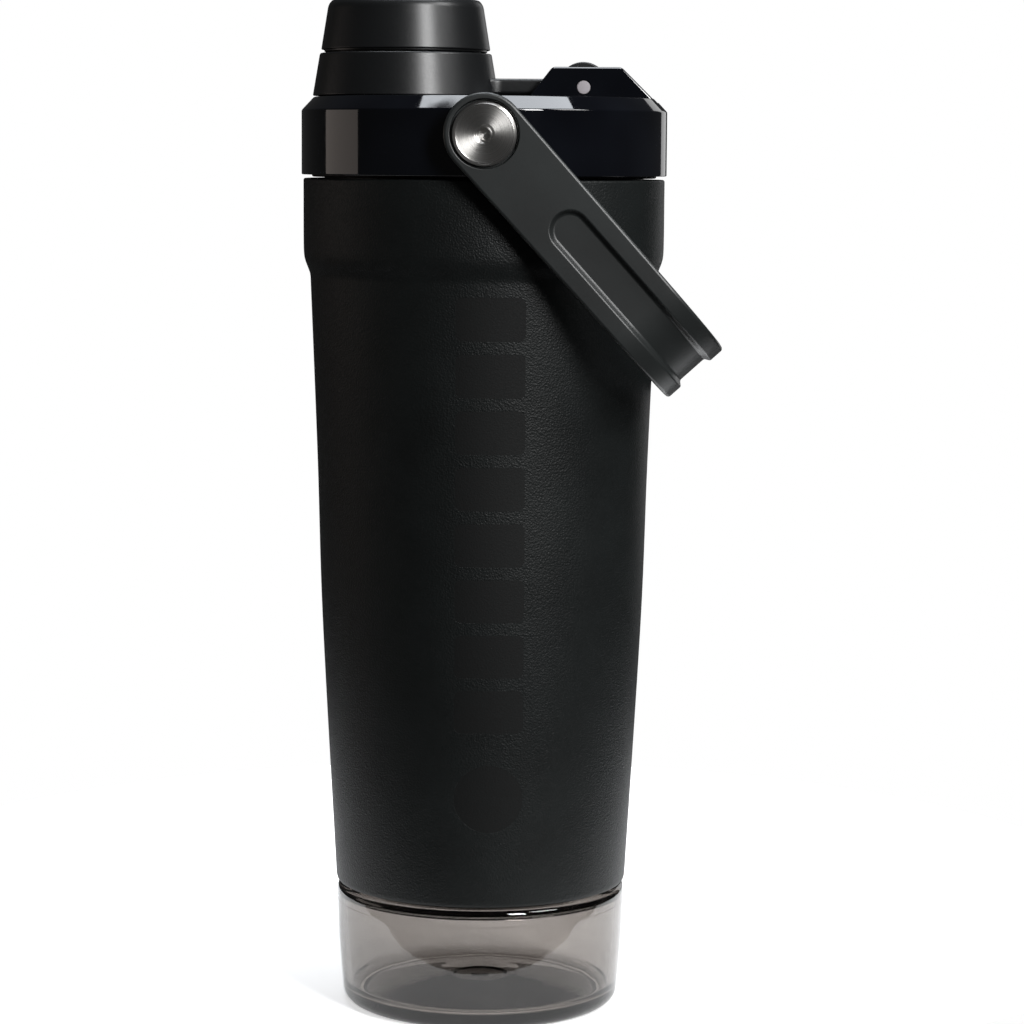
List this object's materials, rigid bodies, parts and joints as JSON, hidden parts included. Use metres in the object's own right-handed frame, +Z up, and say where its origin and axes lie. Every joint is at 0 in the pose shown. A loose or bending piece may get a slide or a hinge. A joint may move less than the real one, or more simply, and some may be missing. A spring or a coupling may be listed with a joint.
{
  "type": "protein shaker bottle",
  "caption": "Tall double-wall steel shaker bottle with a clear screw-on base cup, a screw lid with mixing grid, a captive flip-back spout cap and a swinging stirrup handle.",
  "frame": {"origin": "on the bottle's axis, at the plane it stands on", "axes": "+Z up along the bottle's axis, the cap's hinge on the +X side, the handle's pivot axis along Y"},
  "size_m": [0.1028, 0.0998, 0.247],
  "materials": {
    "powder_coat": "matte black powder coat with a fine leather-like grain",
    "bare_steel": "drawn stainless steel, satin",
    "turned_steel": "turned stainless steel",
    "brass_insert": "turned brass",
    "clear_smoke": "smoke-grey clear copolyester, polished",
    "gloss_black": "polished black moulding",
    "satin_black": "satin black moulding",
    "grey_plastic": "dark grey food-grade polypropylene",
    "nylon": "natural nylon",
    "black_rubber": "black silicone rubber"
  },
  "bodies": {
    "body": {"body_shell": "powder_coat", "body_liner": "bare_steel", "base_collar": "satin_black"},
    "base_carrier": {"base_seal": "black_rubber"},
    "base": {"base_cup": "clear_smoke"},
    "lid_carrier": {"lid_gasket": "black_rubber"},
    "lid": {"lid_shell": "gloss_black", "inner_lid": "grey_plastic", "mixer_grid": "grey_plastic", "hinge_pin": "bare_steel", "handle_insert_front": "brass_insert", "handle_insert_back": "brass_insert", "handle_screw_front": "turned_steel", "handle_screw_back": "turned_steel", "handle_washer_front": "nylon", "handle_washer_back": "nylon"},
    "handle": {"handle": "satin_black", "handle_bush_front": "nylon", "handle_bush_back": "nylon"},
    "cap_hinge_arm": {"cap_arm": "satin_black"},
    "cap_carrier": {"cap_seal": "black_rubber"},
    "cap": {"cap_knob": "satin_black", "cap_sleeve": "grey_plastic", "cap_retainer": "grey_plastic"}
  },
  "joints": [
    {"name": "base_drop", "type": "slide", "parent": "body", "child": "base_carrier", "axis": [0, 0, -1], "range_m": [0, 0.0101]},
    {"name": "base_turn", "type": "hinge", "parent": "base_carrier", "child": "base", "pos_m": [0, 0, 0.0282], "axis": [0, 0, -1], "range_deg": [0, 720]},
    {"name": "lid_lift", "type": "slide", "parent": "body", "child": "lid_carrier", "axis": [0, 0, 1], "range_m": [0, 0.0151]},
    {"name": "lid_turn", "type": "hinge", "parent": "lid_carrier", "child": "lid", "pos_m": [0, 0, 0.20506], "axis": [0, 0, 1], "range_deg": [0, 900]},
    {"name": "handle_swing", "type": "hinge", "parent": "lid", "child": "handle", "pos_m": [0, 0, 0.21465], "axis": [0, -1, 0], "range_deg": [0, 276]},
    {"name": "cap_flip", "type": "hinge", "parent": "lid", "child": "cap_hinge_arm", "pos_m": [0.0238, 0, 0.22615], "axis": [0, 1, 0], "range_deg": [0, 175]},
    {"name": "cap_lift", "type": "slide", "parent": "cap_hinge_arm", "child": "cap_carrier", "axis": [0, 0, 1], "range_m": [0, 0.0041]},
    {"name": "cap_turn", "type": "hinge", "parent": "cap_carrier", "child": "cap", "pos_m": [-0.0192, 0, 0.2353], "axis": [0, 0, 1], "range_deg": [0, 360]}
  ],
  "couplings": [
    {"joint": "base_drop", "follows": "base_turn", "m_per_rad": 0.00079577},
    {"joint": "lid_lift", "follows": "lid_turn", "m_per_rad": 0.00095493},
    {"joint": "cap_lift", "follows": "cap_turn", "m_per_rad": 0.00063662}
  ]
}
